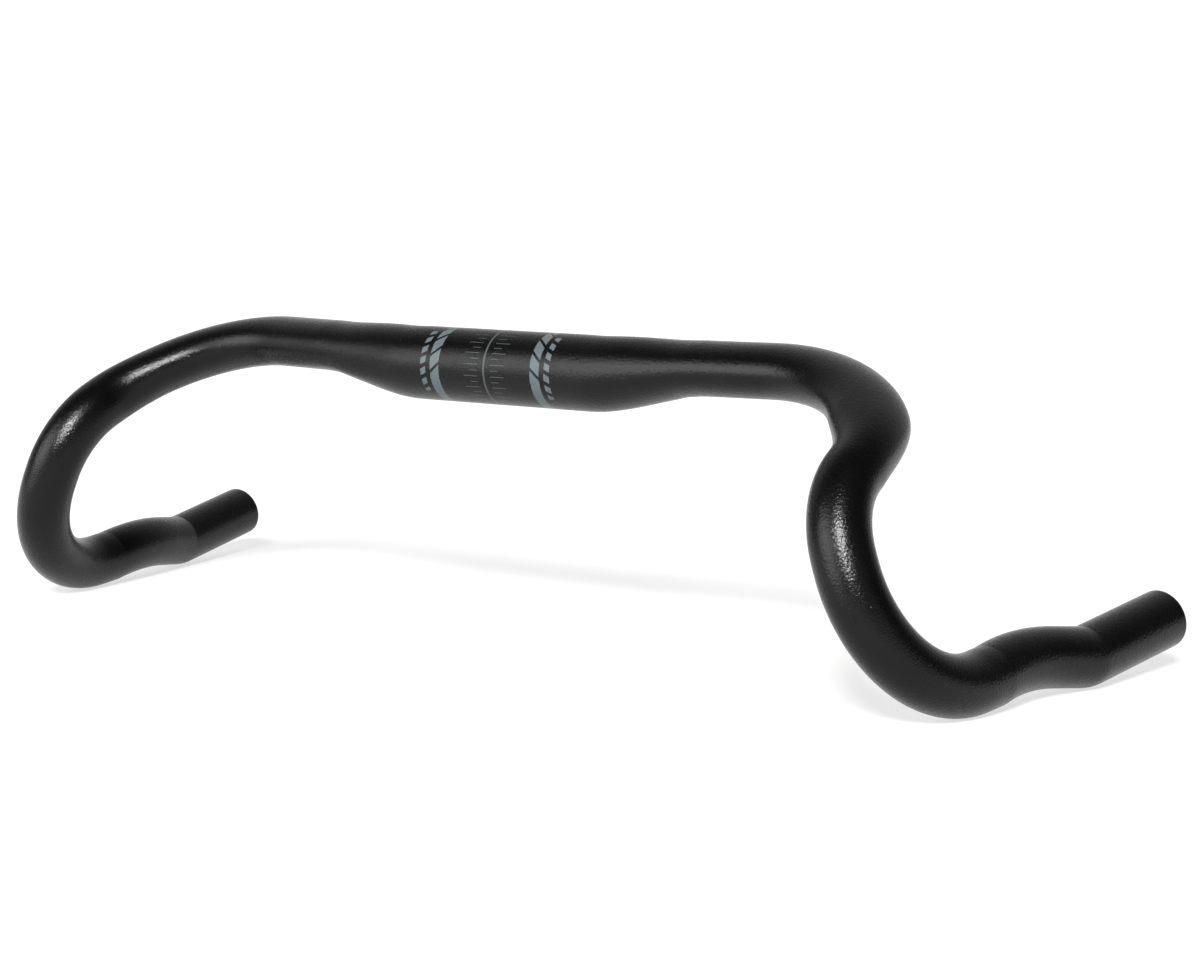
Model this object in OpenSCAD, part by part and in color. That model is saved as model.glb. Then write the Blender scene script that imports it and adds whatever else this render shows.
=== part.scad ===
// Flared drop handlebar, one bent aluminium tube.
// Millimetres. X runs along the clamp zone, -Y is forward (the way the bicycle travels), +Z is up.
// The origin is the middle of the clamp zone. The bar is drawn as it stands on a table:
// on the two hook bottoms and on the two kinks near its ends.
// The centreline of one side is a list of bend points, each rounded with its own radius.

/* [Clamp zone] */
// Diameter of the clamp zone
clamp_d = 31.8; // [25.4:0.1:35]
// From the middle of the bar to the first bend point
clamp_reach = 47.5; // [44:0.5:52]
// Radius of the gentle bend at each end of the clamp zone
clamp_bend_r = 37; // [30:1:50]

/* [Tops] */
// Length of the tapered leg beside the clamp zone
taper_leg = 64; // [60:0.5:70]
// Rise of the tapered leg, which keeps the upper edge of the bar level
taper_rise = 4.5; // [4:0.5:5]
// Share of the taper's length over which it steepens
taper_in = 0.15; // [0.1:0.05:0.4]
// Share of the taper's length over which it levels out
taper_out = 0.15; // [0.1:0.05:0.4]
// Angle that the tops sweep back
back_sweep = 4; // [2:0.5:5]
// Angle that the tops fall towards the corner
tops_fall = 1; // [0.5:0.5:1.5]
// Length of the tops from the taper to the corner's bend point
tops_leg = 86; // [84:1:106]
// Height of the flattened tops
tops_height = 22.4; // [22:0.2:22.8]
// Depth of the flattened tops, front to back
tops_depth = 25.2; // [24:0.2:26.4]
// Radius of the gentle bend between taper and tops
tops_bend_r = 47; // [40:1:56]
// Radius of the corner, before the flattening stretches it
corner_bend_r = 54; // [46:1:54]

/* [Hooks] */
// Diameter of the tube from the corner to its end
tube_d = 23.8; // [23.6:0.1:24]
// Angle that the hooks lean outwards
flare = 22.5; // [20:0.5:25]
// Angle that the hooks open towards the rear
hook_toe = 7.5; // [6:0.5:9]
// Forward distance from the corner to the upper bend point of the hook
ramp_reach = 76.5; // [76.5:0.5:80]
// Fall, along the leaning hook, from the corner to its upper bend point
ramp_drop = 39; // [38.5:0.5:41]
// Forward distance from the corner to the lower bend point
hook_reach = 86.5; // [86:0.5:88]
// Fall from the corner to the lower bend point
hook_drop = 122.5; // [122:0.5:132]
// Radius of the upper hook bend
hook_top_r = 33.5; // [30:0.5:33.5]
// Radius of the lower hook bend
hook_low_r = 48; // [44:1:49]

/* [Drops] */
// Angle that the drops open outwards, seen from above
drop_toe = 12.5; // [11:0.5:14]
// Forward distance from the corner to the top of the palm hump (negative is behind)
hump_reach = -2; // [-5:0.5:0]
// Fall from the corner to the hump's bend point
hump_drop = 109.5; // [109:0.5:111]
// Radius of the hump
hump_r = 110; // [80:5:110]
// How far behind the hump the kink lies
kink_back = 33; // [32:0.5:38]
// How far below the hump's bend point the kink lies
kink_down = 5; // [4.5:0.5:5.5]
// Radius of the kink
kink_r = 16; // [15:1:22]
// How far behind the kink the bar ends
end_back = 52.5; // [48:0.5:70]
// How far above the kink the bar ends
end_up = 8.5; // [7:0.5:10]

/* [Tube wall] */
// Wall of the tops and hooks
wall = 1.5; // [1.2:0.1:2]
// Wall under the stem clamp
clamp_wall = 2.2; // [1.8:0.1:3]

/* [Hidden] */
$fn = 96;

// A bend point list in the bar's own directions
function dir(az, up) = [cos(up) * cos(az), cos(up) * sin(az), sin(up)];
function unit(v) = v / norm(v);
function in_hook(a, b, toe) = a * [-sin(toe), -cos(toe), 0] + b * [sin(flare), 0, -cos(flare)];
function turn(u, w) = acos(min(1, max(-1, u * w)));
function cut_back(u, w, r) = r * tan(turn(u, w) / 2);

v1 = [clamp_reach, 0, 0];
v2 = v1 + taper_leg * dir(back_sweep, taper_rise);
v3 = v2 + tops_leg * dir(back_sweep, -tops_fall);
v4 = v3 + in_hook(ramp_reach, ramp_drop, hook_toe);
v5 = v3 + in_hook(hook_reach, hook_drop, hook_toe);
v6 = v3 + in_hook(hump_reach, hump_drop, hook_toe);
v7 = v6 + in_hook(-kink_back, kink_down, drop_toe);
v8 = v7 + in_hook(-end_back, -end_up, drop_toe);

u1 = [1, 0, 0];
u2 = unit(v2 - v1);
u3 = unit(v3 - v2);
clamp_end = clamp_reach - cut_back(u1, u2, clamp_bend_r);

// The flattened stretch is a round tube in a space that is then widened
widen = [(tube_d - 0.3) / tops_height, tops_depth / tops_height, 1];
function narrow(p) = [p[0] / widen[0], p[1] / widen[1], p[2] / widen[2]];
w2 = narrow(v2);
w3 = narrow(v3);
w4 = narrow(v4);
// the corner ends here on the ramp
w_end = w3 + unit(w4 - w3) * cut_back(unit(w3 - w2), unit(w4 - w3), corner_bend_r);
ramp_start = [w_end[0] * widen[0], w_end[1] * widen[1], w_end[2] * widen[2]];

// Straight pieces run this far into their neighbours
lap = 0.2;
// Bends are thinner than straight pieces by this much, so that no two walls lie on each other
shy = 0.01;

// Straight piece from point a in direction d
module leg(a, d, length, r1, r2) {
  translate(a) rotate([0, acos(d[2]), atan2(d[1], d[0])])
    translate([0, 0, -lap]) cylinder(h = length + 2 * lap, r1 = r1, r2 = r2);
}

// Bend of radius bend_r at point v, from direction u to direction w
module bend(v, u, w, bend_r, r) {
  n = unit(w - (u * w) * u);
  c = v - u * cut_back(u, w, bend_r) + n * bend_r;
  z = cross(-n, u);
  multmatrix([[-n[0], u[0], z[0], c[0]], [-n[1], u[1], z[1], c[1]], [-n[2], u[2], z[2], c[2]], [0, 0, 0, 1]])
    rotate_extrude(angle = turn(u, w)) translate([bend_r, 0]) circle(r = r - shy);
}

// Taper from r1 to r2 along a straight leg, easing in and out
function ease(t) = let (m = 1 / (1 - (taper_in + taper_out) / 2))
  t < taper_in ? m * t * t / (2 * taper_in)
  : t < 1 - taper_out ? m * (t - taper_in / 2)
  : 1 - m * (1 - t) * (1 - t) / (2 * taper_out);
module taper(a, b, r1, r2, steps) {
  d = b - a;
  translate(a) rotate([0, acos(d[2] / norm(d)), atan2(d[1], d[0])])
    rotate_extrude()
      polygon(concat([[0, 0]], [for (i = [0:steps]) [r1 + (r2 - r1) * ease(i / steps), norm(d) * i / steps]], [[0, norm(d)]]));
}

// A run of legs and bends with one radius; r holds a bend radius for each inner point
module run(p, radii, r) {
  n = len(p) - 1;
  for (i = [1:n - 1]) bend(p[i], unit(p[i] - p[i - 1]), unit(p[i + 1] - p[i]), radii[i - 1], r);
  for (i = [0:n - 1]) {
    d = unit(p[i + 1] - p[i]);
    a = i == 0 ? p[0] : p[i] + d * cut_back(unit(p[i] - p[i - 1]), d, radii[i - 1]);
    b = i == n - 1 ? p[n] : p[i + 1] - d * cut_back(d, unit(p[i + 2] - p[i + 1]), radii[i]);
    leg(a, d, norm(b - a), r, r);
  }
}

// One side of the bar as a solid rod, thinner than the tube by `under`, and by clamp_under at the clamp;
// past_end carries a bore through the open end
module side(under, clamp_under, past_end) {
  r_clamp = clamp_d / 2 - clamp_under;
  r_tops = tops_height / 2 - under;
  r_tube = tube_d / 2 - under;
  // clamp zone's bend and the taper
  a = v1 + u2 * cut_back(u1, u2, clamp_bend_r);
  b = v2 - u2 * cut_back(u2, u3, tops_bend_r);
  bend(v1, u1, u2, clamp_bend_r, r_clamp);
  leg(a, u2, 0, r_clamp, r_clamp);
  taper(a, b, r_clamp - shy, r_tops - 0.4, 14);
  // flattened tops and corner
  scale(widen) run([narrow(a + (b - a) * 0.25), w2, w3, w_end + unit(w4 - w3) * 6], [tops_bend_r, corner_bend_r], r_tops);
  // ramp, hook, hump, kink and end
  ramp = unit(v4 - v3);
  leg(ramp_start + ramp * 0.5, ramp, 4.5, r_tube - 0.9, r_tube - shy);
  run([ramp_start + ramp * 5, v4, v5, v6, v7, v8 + unit(v8 - v7) * past_end], [hook_top_r, hook_low_r, hump_r, kink_r], r_tube);
}

module clamp_zone(r) {
  rotate([0, 90, 0]) cylinder(h = 2 * (clamp_end + lap), r = r, center = true);
}

module handlebar() {
  color([0.07, 0.07, 0.075]) difference() {
    union() {
      clamp_zone(clamp_d / 2);
      side(0, 0, 0);
      mirror([1, 0, 0]) side(0, 0, 0);
    }
    clamp_zone(clamp_d / 2 - clamp_wall);
    side(wall, clamp_wall, 5);
    mirror([1, 0, 0]) side(wall, clamp_wall, 5);
  }
}

handlebar();
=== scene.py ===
import math

import bpy
import numpy as np
from mathutils import Matrix, Vector


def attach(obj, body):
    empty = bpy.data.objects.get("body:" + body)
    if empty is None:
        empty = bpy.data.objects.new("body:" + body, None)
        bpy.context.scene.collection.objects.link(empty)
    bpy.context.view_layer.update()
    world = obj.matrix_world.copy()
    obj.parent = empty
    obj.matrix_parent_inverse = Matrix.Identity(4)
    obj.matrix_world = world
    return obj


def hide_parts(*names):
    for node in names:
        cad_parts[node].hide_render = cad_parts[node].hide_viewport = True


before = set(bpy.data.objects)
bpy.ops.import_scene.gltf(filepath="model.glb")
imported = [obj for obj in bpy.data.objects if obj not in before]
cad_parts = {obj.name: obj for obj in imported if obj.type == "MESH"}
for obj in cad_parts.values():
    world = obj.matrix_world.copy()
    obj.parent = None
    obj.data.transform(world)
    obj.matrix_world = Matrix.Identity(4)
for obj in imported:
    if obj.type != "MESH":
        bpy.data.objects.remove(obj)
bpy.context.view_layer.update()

MM = 0.001
RAD = math.pi / 180


# ---------------------------------------------------------------- the bar's shape, in millimetres
CLAMP_R = 15.9
TOPS_UP = 11.2      # half height of the flattened tops
TOPS_SIDE = 15.8    # half depth of the flattened tops
TUBE_R = 11.9
WALL = 1.5
FLAT_FROM, FLAT_TO = 38.5, 106.2    # the taper, along the centreline
UNDER_FROM, UNDER_TO = 43.0, 92.5      # the same on the lower side, which ends more sharply
ROUND_FROM, ROUND_TO = 197.0, 230.0  # the flattening fades out


def heading(az, up):
    return np.array([math.cos(up * RAD) * math.cos(az * RAD), math.cos(up * RAD) * math.sin(az * RAD), math.sin(up * RAD)])


def in_hook(a, b, toe, flare=22.4):
    """Forward distance a and fall b in the leaning plane of a hook."""
    return a * np.array([-math.sin(toe * RAD), -math.cos(toe * RAD), 0]) + b * np.array([math.sin(flare * RAD), 0, -math.cos(flare * RAD)])


def bend_points():
    v1 = np.array([51.5, 0, 0])
    v2 = v1 + 48.5 * heading(4.2, 5.4)
    v3 = v2 + 97.0 * heading(4.2, 0.5)
    v4 = v3 + in_hook(77.7, 42.0, 7.6)
    v5 = v3 + in_hook(86.1, 121.9, 7.6)
    v6 = v3 + in_hook(22.0, 115.8, 7.6)
    v7 = v3 + in_hook(2.3, 111.4, 7.6)
    v8 = v7 + in_hook(-36.5, 5.1, 12.2)
    v9 = v8 + in_hook(-52.9, -8.5, 12.2)
    return [np.zeros(3), v1, v2, v3, v4, v5, v6, v7, v8, v9]


# at the clamp zone, taper, corner, hook top, hook bottom, crease, hump and kink
BEND_R = [91.6, 77.5, 65.0, 37.6, 47.6, 12.0, 96.0, 12.0]


def centreline(step):
    """Points, directions and arc length of one side, a point about every step millimetres."""
    v, c, t = bend_points(), [], []
    at = v[0]
    for i in range(1, len(v) - 1):
        u = (v[i] - v[i - 1]) / np.linalg.norm(v[i] - v[i - 1])
        w = (v[i + 1] - v[i]) / np.linalg.norm(v[i + 1] - v[i])
        turn = math.acos(max(-1, min(1, float(u @ w))))
        cut = BEND_R[i - 1] * math.tan(turn / 2)
        start = v[i] - u * cut
        length = float((start - at) @ u)
        n = max(1, round(length / step))
        for k in range(n):
            c.append(at + u * length * k / n)
            t.append(u)
        side = w - (u @ w) * u
        side /= np.linalg.norm(side)
        n = max(8, round(BEND_R[i - 1] * turn / step), round(turn / RAD / 2.0))
        for k in range(n):
            a = turn * k / n
            c.append(start + BEND_R[i - 1] * (math.sin(a) * u + (1 - math.cos(a)) * side))
            t.append(math.cos(a) * u + math.sin(a) * side)
        at = v[i] + w * cut
    u = (v[-1] - v[-2]) / np.linalg.norm(v[-1] - v[-2])
    length = float((v[-1] - at) @ u)
    n = max(2, round(length / step))
    for k in range(n + 1):
        c.append(at + u * length * k / n)
        t.append(u)
    # points that would step back where two bends meet are left out, and the rest is evened a little
    kept = [0]
    for i in range(1, len(c)):
        if (c[i] - c[kept[-1]]) @ t[kept[-1]] > 0.12:
            kept.append(i)
    c = np.array([c[i] for i in kept])
    for _ in range(3):
        c[1:-1] = 0.25 * c[:-2] + 0.5 * c[1:-1] + 0.25 * c[2:]
    s = np.r_[0, np.cumsum(np.linalg.norm(np.diff(c, axis=0), axis=1))]
    t = np.gradient(c, s, axis=0)
    t /= np.linalg.norm(t, axis=1)[:, None]
    t[0] = [1, 0, 0]
    return c, t, s


def eased_ramp(u, k1, k3):
    m = 1 / (1 - (k1 + k3) / 2)
    u = np.clip(u, 0, 1)
    return np.where(u < k1, m * u * u / (2 * k1), np.where(u < 1 - k3, m * (u - k1 / 2), 1 - m * (1 - u) ** 2 / (2 * k3)))


def smooth(u):
    u = np.clip(u, 0, 1)
    return u * u * (3 - 2 * u)


def section(s):
    """Half height above and below the centreline and half depth of the tube at arc length s."""
    t = eased_ramp((s - FLAT_FROM) / (FLAT_TO - FLAT_FROM), 0.55, 0.3)
    e = smooth((s - ROUND_FROM) / (ROUND_TO - ROUND_FROM))
    up = CLAMP_R + (TOPS_UP - CLAMP_R) * t + (TUBE_R - TOPS_UP) * e
    side = CLAMP_R + (TOPS_SIDE - CLAMP_R) * t + (TUBE_R - TOPS_SIDE) * e
    # the lower side reaches the tops sooner and stops with a short edge
    b = eased_ramp((s - UNDER_FROM) / (UNDER_TO - UNDER_FROM), 0.55, 0.05)
    down = CLAMP_R + (TOPS_UP - CLAMP_R) * b + (TUBE_R - TOPS_UP) * e
    return up, down, side


def frames(t):
    """Twist-free sideways and upward directions along the directions t."""
    u, h, last = np.zeros_like(t), np.zeros_like(t), np.array([0, 0, 1.0])
    for i, d in enumerate(t):
        last = last - (last @ d) * d
        last /= np.linalg.norm(last)
        u[i] = last
        h[i] = np.cross(d, last)
    a = -1.4 * RAD
    return math.cos(a) * h + math.sin(a) * u, math.cos(a) * u - math.sin(a) * h


def side_rings(step, around, inset=0.0):
    """Rings of one side from the middle to the end, as an array (rings, around, 3) in metres."""
    c, t, s = centreline(step)
    h, u = frames(t)
    up, down, side = section(s)
    a = 2 * math.pi * np.arange(around) / around
    ca, sa = np.cos(a)[None, :], np.sin(a)[None, :]
    x = (side - inset)[:, None] * ca
    z = np.where(sa > 0, (up - inset)[:, None] * sa, (down - inset)[:, None] * sa)
    p = c[:, None] + x[:, :, None] * h[:, None] + z[:, :, None] * u[:, None]
    return p * MM, c, t, s, h, u


def both_sides(rings):
    """One strip of rings from the left end over the middle to the right end."""
    left = rings[:0:-1].copy()
    left[:, :, 0] *= -1
    return np.concatenate([left, rings])


def strip_faces(n, m, base, flip=False):
    i, j = np.meshgrid(np.arange(n - 1), np.arange(m), indexing="ij")
    k = (j + 1) % m
    q = np.stack([i * m + j, i * m + k, (i + 1) * m + k, (i + 1) * m + j], -1).reshape(-1, 4) + base
    return q[:, ::-1] if flip else q


def make_bar():
    around = 68
    rings, c, t, s, h, u = side_rings(1.05, around)
    # the end's outer edge is broken by 0.4 mm: the last rings step in on a quarter circle
    end_c, end_t = c[-1] * MM, t[-1]
    edge, r = [], 0.35 * MM
    for k in range(1, 5):
        a = k * math.pi / 8
        inward = r * (1 - math.cos(a))
        along = r * math.sin(a)
        ring = rings[-1] - (rings[-1] - end_c) / (TUBE_R * MM) * inward + end_t * (along - r)
        edge.append(ring)
    rings = rings[:-1]
    keep = (np.linalg.norm(rings.mean(1) - end_c, axis=1) > r * 1.2)
    rings = np.concatenate([rings[keep], np.array(edge)])
    outer = both_sides(rings)
    inner_r, ci, ti, si, hi, ui = side_rings(3.0, around, WALL)
    inner = both_sides(inner_r)
    n, m = len(outer), len(inner)
    verts = np.concatenate([outer.reshape(-1, 3), inner.reshape(-1, 3)])
    base = n * around
    quads = [strip_faces(n, around, 0), strip_faces(m, around, base, True)]
    j = np.arange(around)
    k = (j + 1) % around
    last_o, last_i = (n - 1) * around, base + (m - 1) * around
    quads.append(np.stack([last_o + j, last_o + k, last_i + k, last_i + j], -1))
    quads.append(np.stack([j, base + j, base + k, k], -1))
    quads = np.concatenate(quads)
    mesh = bpy.data.meshes.new("bar_tube")
    mesh.from_pydata(verts.tolist(), [], quads.tolist())
    mesh.validate()
    mesh.update()
    # outward normals: flip all if the signed volume is negative
    v = np.array([x.co for x in mesh.vertices])
    f = np.array([list(p.vertices) for p in mesh.polygons])
    vol = 0.0
    for a0, b0, c0 in ((0, 1, 2), (0, 2, 3)):
        vol += np.einsum("ij,ij->i", v[f[:, a0]], np.cross(v[f[:, b0]], v[f[:, c0]])).sum() / 6
    if vol < 0:
        mesh.flip_normals()
    for p in mesh.polygons:
        p.use_smooth = True
    ob = bpy.data.objects.new("bar_tube", mesh)
    bpy.context.scene.collection.objects.link(ob)
    return ob


# ---------------------------------------------------------------- materials
def nodes_of(name):
    m = bpy.data.materials.new(name)
    m.use_nodes = True
    nt = m.node_tree
    nt.nodes.clear()
    return m, nt, nt.nodes, nt.links


def math_node(nt, op, a, b=None, c=None, clamp=False):
    n = nt.nodes.new("ShaderNodeMath")
    n.operation = op
    n.use_clamp = clamp
    for i, v in enumerate((a, b, c)):
        if v is None:
            continue
        if isinstance(v, (int, float)):
            n.inputs[i].default_value = v
        else:
            nt.links.new(v, n.inputs[i])
    return n.outputs[0]


def ramp(nt, value, stops, mode="LINEAR"):
    n = nt.nodes.new("ShaderNodeValToRGB")
    n.color_ramp.interpolation = mode
    while len(n.color_ramp.elements) > 1:
        n.color_ramp.elements.remove(n.color_ramp.elements[0])
    first = True
    for pos, col in stops:
        e = n.color_ramp.elements[0] if first else n.color_ramp.elements.new(pos)
        e.position = pos
        e.color = (*col, 1) if len(col) == 3 else col
        first = False
    nt.links.new(value, n.inputs[0])
    return n.outputs[0]


def noise(nt, coord, scale, detail=2.0, rough=0.5):
    n = nt.nodes.new("ShaderNodeTexNoise")
    n.inputs["Scale"].default_value = scale
    n.inputs["Detail"].default_value = detail
    n.inputs["Roughness"].default_value = rough
    nt.links.new(coord, n.inputs["Vector"])
    return n.outputs[0]


def window(nt, v, lo, hi, soft):
    """1 between lo and hi, with an edge soft wide."""
    a = math_node(nt, "SUBTRACT", v, lo)
    a = math_node(nt, "DIVIDE", a, soft, clamp=True)
    b = math_node(nt, "SUBTRACT", hi, v)
    b = math_node(nt, "DIVIDE", b, soft, clamp=True)
    return math_node(nt, "MULTIPLY", a, b)


def print_mask(nt, coord):
    """The printed zone: plain broken bands, dashes, a centre line and two columns of graduation ticks.

    x is along the clamp zone in millimetres, and phi the angle around it in degrees, 0 at the front and rising upwards.
    """
    sep = nt.nodes.new("ShaderNodeSeparateXYZ")
    nt.links.new(coord, sep.inputs[0])
    x = math_node(nt, "MULTIPLY", sep.outputs[0], 1000.0)
    back = math_node(nt, "MULTIPLY", sep.outputs[1], -1.0)
    phi = math_node(nt, "ARCTAN2", sep.outputs[2], back)
    phi = math_node(nt, "MULTIPLY", phi, 180 / math.pi)
    ax = math_node(nt, "ABSOLUTE", x)
    near = window(nt, ax, -1, 44, 0.2)
    # centre line and its short dashes
    line = math_node(nt, "MULTIPLY", window(nt, ax, -1, 0.55, 0.12), window(nt, phi, -118, 92, 1))
    # ticks every 9 degrees, alternately long and short
    cell = math_node(nt, "DIVIDE", phi, 9.0)
    frac = math_node(nt, "FRACT", math_node(nt, "ADD", cell, 40.5))
    on = window(nt, frac, 0.42, 0.58, 0.04)
    half = math_node(nt, "FRACT", math_node(nt, "ADD", math_node(nt, "DIVIDE", phi, 18.0), 40.25))
    longer = math_node(nt, "GREATER_THAN", half, 0.5)
    outer = math_node(nt, "MULTIPLY_ADD", longer, 3.2, 7.6)
    tick = math_node(nt, "MULTIPLY", window(nt, ax, 3.4, 400, 0.15), math_node(nt, "LESS_THAN", ax, outer))
    tick = math_node(nt, "MULTIPLY", tick, on)
    tick = math_node(nt, "MULTIPLY", tick, window(nt, phi, -64, 64, 1))
    # side bands: broken above the middle by slanted gaps, whole below it
    slant = math_node(nt, "MULTIPLY_ADD", ax, 3.0, phi)
    gaps = math_node(nt, "FRACT", math_node(nt, "DIVIDE", math_node(nt, "ADD", slant, 400.0 - 62.0), 26.0))
    gap = window(nt, gaps, 0.0, 0.24, 0.03)
    upper = math_node(nt, "GREATER_THAN", phi, -18)
    broken = math_node(nt, "SUBTRACT", 1.0, math_node(nt, "MULTIPLY", gap, upper), clamp=True)
    band = math_node(nt, "MULTIPLY", window(nt, ax, 24.6, 29.6, 0.15), broken)
    band = math_node(nt, "MULTIPLY", band, window(nt, phi, -118, 92, 1))
    # outside the bands a column of plain slanted dashes
    step = math_node(nt, "FRACT", math_node(nt, "DIVIDE", math_node(nt, "MULTIPLY_ADD", ax, 1.6, math_node(nt, "ADD", phi, 400.0)), 17.0))
    thin = math_node(nt, "MULTIPLY", window(nt, ax, 31.9, 34.9, 0.15), window(nt, step, 0.0, 0.62, 0.02))
    thin = math_node(nt, "MULTIPLY", thin, window(nt, phi, -42, 66, 1))
    return near, line, tick, band, thin


def bar_material():
    m, nt, nodes, links = nodes_of("satin_black")
    out = nodes.new("ShaderNodeOutputMaterial")
    bsdf = nodes.new("ShaderNodeBsdfPrincipled")
    links.new(bsdf.outputs[0], out.inputs[0])
    tc = nodes.new("ShaderNodeTexCoord")
    co = tc.outputs["Object"]

    near, line, tick, band, thin = print_mask(nt, co)
    ink = math_node(nt, "MAXIMUM", band, thin)
    faint = math_node(nt, "MAXIMUM", line, tick)

    # blasted grain at two sizes
    fine = noise(nt, co, 2600.0, 2.0, 0.6)
    grain = noise(nt, co, 1150.0, 2.0, 0.55)
    cloud = noise(nt, co, 30.0, 3.0, 0.5)

    # colour: near black anodising, slightly cloudy, with the print over it
    base = ramp(nt, cloud, [(0.3, (0.0010, 0.0010, 0.0011)), (0.7, (0.0018, 0.0018, 0.0017))])
    speck = ramp(nt, fine, [(0.62, (0.0, 0.0, 0.0)), (0.78, (1.0, 1.0, 1.0))])
    mix0 = nodes.new("ShaderNodeMix")
    mix0.data_type = "RGBA"
    mix0.inputs[7].default_value = (0.004, 0.004, 0.004, 1)
    links.new(speck, mix0.inputs[0])
    links.new(base, mix0.inputs[6])
    worn = ramp(nt, grain, [(0.30, (0.8, 0.8, 0.8)), (0.48, (1, 1, 1))])
    inkcol = nodes.new("ShaderNodeMix")
    inkcol.data_type = "RGBA"
    inkcol.inputs[7].default_value = (0.058, 0.074, 0.078, 1)
    links.new(mix0.outputs[2], inkcol.inputs[6])
    links.new(math_node(nt, "MULTIPLY", math_node(nt, "MULTIPLY", ink, worn), near), inkcol.inputs[0])
    faintcol = nodes.new("ShaderNodeMix")
    faintcol.data_type = "RGBA"
    faintcol.inputs[7].default_value = (0.062, 0.072, 0.074, 1)
    links.new(inkcol.outputs[2], faintcol.inputs[6])
    links.new(math_node(nt, "MULTIPLY", math_node(nt, "MULTIPLY", faint, 0.55), near), faintcol.inputs[0])
    links.new(faintcol.outputs[2], bsdf.inputs["Base Color"])

    bsdf.inputs["Metallic"].default_value = 0.0
    bsdf.inputs["Specular IOR Level"].default_value = 0.20
    rough = ramp(nt, grain, [(0.3, (0.22, 0.22, 0.22)), (0.7, (0.28, 0.28, 0.28))])
    links.new(rough, bsdf.inputs["Roughness"])

    b1 = nodes.new("ShaderNodeBump")
    b1.inputs["Strength"].default_value = 1.0
    b1.inputs["Distance"].default_value = 0.00002
    links.new(fine, b1.inputs["Height"])
    b2 = nodes.new("ShaderNodeBump")
    b2.inputs["Strength"].default_value = 1.0
    b2.inputs["Distance"].default_value = 0.00018
    links.new(grain, b2.inputs["Height"])
    links.new(b1.outputs[0], b2.inputs["Normal"])
    links.new(b2.outputs[0], bsdf.inputs["Normal"])
    return m


def floor_material():
    m, nt, nodes, links = nodes_of("floor_white")
    out = nodes.new("ShaderNodeOutputMaterial")
    bsdf = nodes.new("ShaderNodeBsdfPrincipled")
    links.new(bsdf.outputs[0], out.inputs[0])
    tc = nodes.new("ShaderNodeTexCoord")
    n = noise(nt, tc.outputs["Object"], 3.0, 2.0, 0.5)
    col = ramp(nt, n, [(0.3, (0.275, 0.275, 0.272)), (0.7, (0.29, 0.29, 0.287))])
    links.new(col, bsdf.inputs["Base Color"])
    bsdf.inputs["Roughness"].default_value = 0.75
    bsdf.inputs["Emission Color"].default_value = (1, 1, 1, 1)
    bsdf.inputs["Emission Strength"].default_value = 0.67
    bsdf.inputs["Specular IOR Level"].default_value = 0.2
    return m


# ---------------------------------------------------------------- build
bar = make_bar()
bar.data.materials.append(bar_material())
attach(bar, "root")
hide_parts("handlebar")

floor_z = min(v.co.z for v in bar.data.vertices)
size = 12.0
fm = bpy.data.meshes.new("floor")
fm.from_pydata([(-size, -size, floor_z), (size, -size, floor_z), (size, size, floor_z), (-size, size, floor_z)], [], [(0, 1, 2, 3)])
floor = bpy.data.objects.new("floor", fm)
bpy.context.scene.collection.objects.link(floor)
fm.materials.append(floor_material())

# ---------------------------------------------------------------- camera, as fitted to the photograph
AZ, EL, ROLL = 37.11, 7.72, -0.31
OX, OY, DIST, FPX = 507.1, 367.7, 1109.97, 2626.9
az, el = AZ * RAD, EL * RAD
back = np.array([math.sin(az) * math.cos(el), -math.cos(az) * math.cos(el), math.sin(el)])
fwd = -back
right = np.cross(fwd, [0, 0, 1.0])
right /= np.linalg.norm(right)
up = np.cross(right, fwd)
r = ROLL * RAD
right, up = math.cos(r) * right + math.sin(r) * up, math.cos(r) * up - math.sin(r) * right
t0, t1 = (OX - 600) / FPX * DIST, -(OY - 480) / FPX * DIST
pos = -(right * t0 + up * t1 + fwd * DIST)
cam = bpy.data.cameras.new("camera")
cam.sensor_width = 36
cam.lens = FPX / 1200 * 36
cam.clip_start, cam.clip_end = 0.05, 60
cam_ob = bpy.data.objects.new("camera", cam)
m = Matrix.Identity(4)
for i in range(3):
    m[i][0], m[i][1], m[i][2], m[i][3] = right[i], up[i], back[i], pos[i] * MM
cam_ob.matrix_world = m
bpy.context.scene.collection.objects.link(cam_ob)
bpy.context.scene.camera = cam_ob


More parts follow.
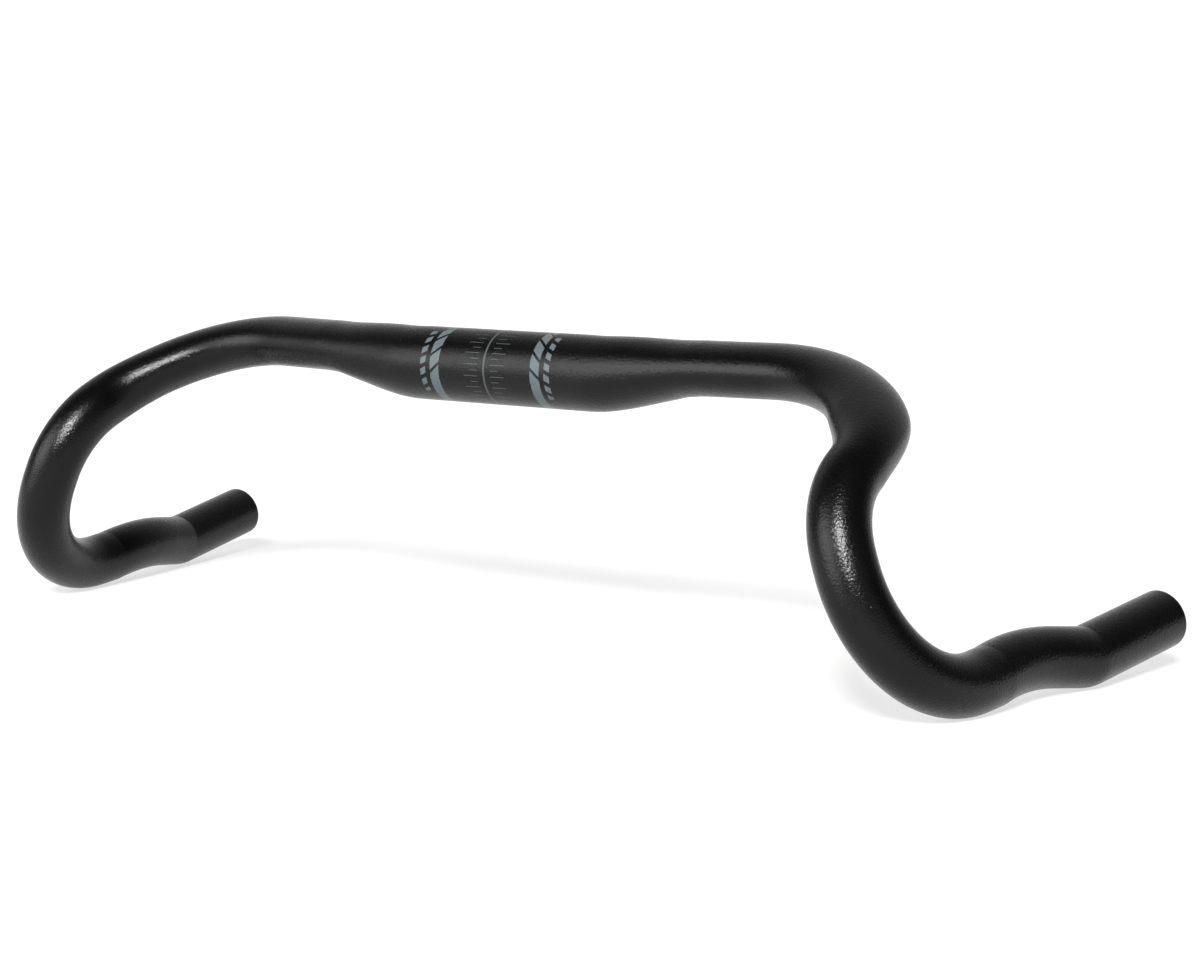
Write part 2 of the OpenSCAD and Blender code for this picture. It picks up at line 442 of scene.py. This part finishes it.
# ---------------------------------------------------------------- light
def sun(name, to_light, power, angle, color=(1, 1, 1)):
    l = bpy.data.lights.new(name, "SUN")
    l.energy = power
    l.angle = angle * RAD
    l.color = color
    o = bpy.data.objects.new(name, l)
    o.rotation_euler = (-Vector(to_light)).to_track_quat("-Z", "Y").to_euler()
    bpy.context.scene.collection.objects.link(o)
    return o


# a white sweep behind the bar, and a dark room on the camera's side
world = bpy.data.worlds.new("studio")
bpy.context.scene.world = world
world.use_nodes = True
wn = world.node_tree
bg = wn.nodes["Background"]
tcw = wn.nodes.new("ShaderNodeTexCoord")
dot = wn.nodes.new("ShaderNodeVectorMath")
dot.operation = "DOT_PRODUCT"
wn.links.new(tcw.outputs["Generated"], dot.inputs[0])
dot.inputs[1].default_value = (-math.sin(az), math.cos(az), -0.1)
sky = ramp(wn, math_node(wn, "MULTIPLY_ADD", dot.outputs["Value"], 0.5, 0.5), [(0.0, (0.006, 0.006, 0.006)), (0.60, (0.008, 0.008, 0.008)), (0.78, (0.42, 0.42, 0.42)), (0.93, (0.6, 0.6, 0.6)), (0.96, (1.0, 1.0, 1.0)), (1.0, (1.0, 1.0, 1.0))])
wn.links.new(sky, bg.inputs[0])
bg.inputs[1].default_value = 1.06
# the room itself is seen as a plain white wall from every side
wall = wn.nodes.new("ShaderNodeBackground")
wall.inputs[0].default_value = (1.0, 1.0, 1.0, 1)
wall.inputs[1].default_value = 1.06
seen = wn.nodes.new("ShaderNodeLightPath")
mix = wn.nodes.new("ShaderNodeMixShader")
wn.links.new(seen.outputs["Is Camera Ray"], mix.inputs[0])
wn.links.new(bg.outputs[0], mix.inputs[1])
wn.links.new(wall.outputs[0], mix.inputs[2])
wn.links.new(mix.outputs[0], wn.nodes["World Output"].inputs[0])


def towards(a, e):
    return (math.sin(a * RAD) * math.cos(e * RAD), -math.cos(a * RAD) * math.cos(e * RAD), math.sin(e * RAD))


sun("softbox_camera", towards(28, 36), 7.8, 15)
sun("softbox_left", towards(-26, 17), 3.1, 48)
sun("fill_right", towards(80, 8), 0.15, 40)

bpy.context.scene.view_settings.view_transform = "Standard"
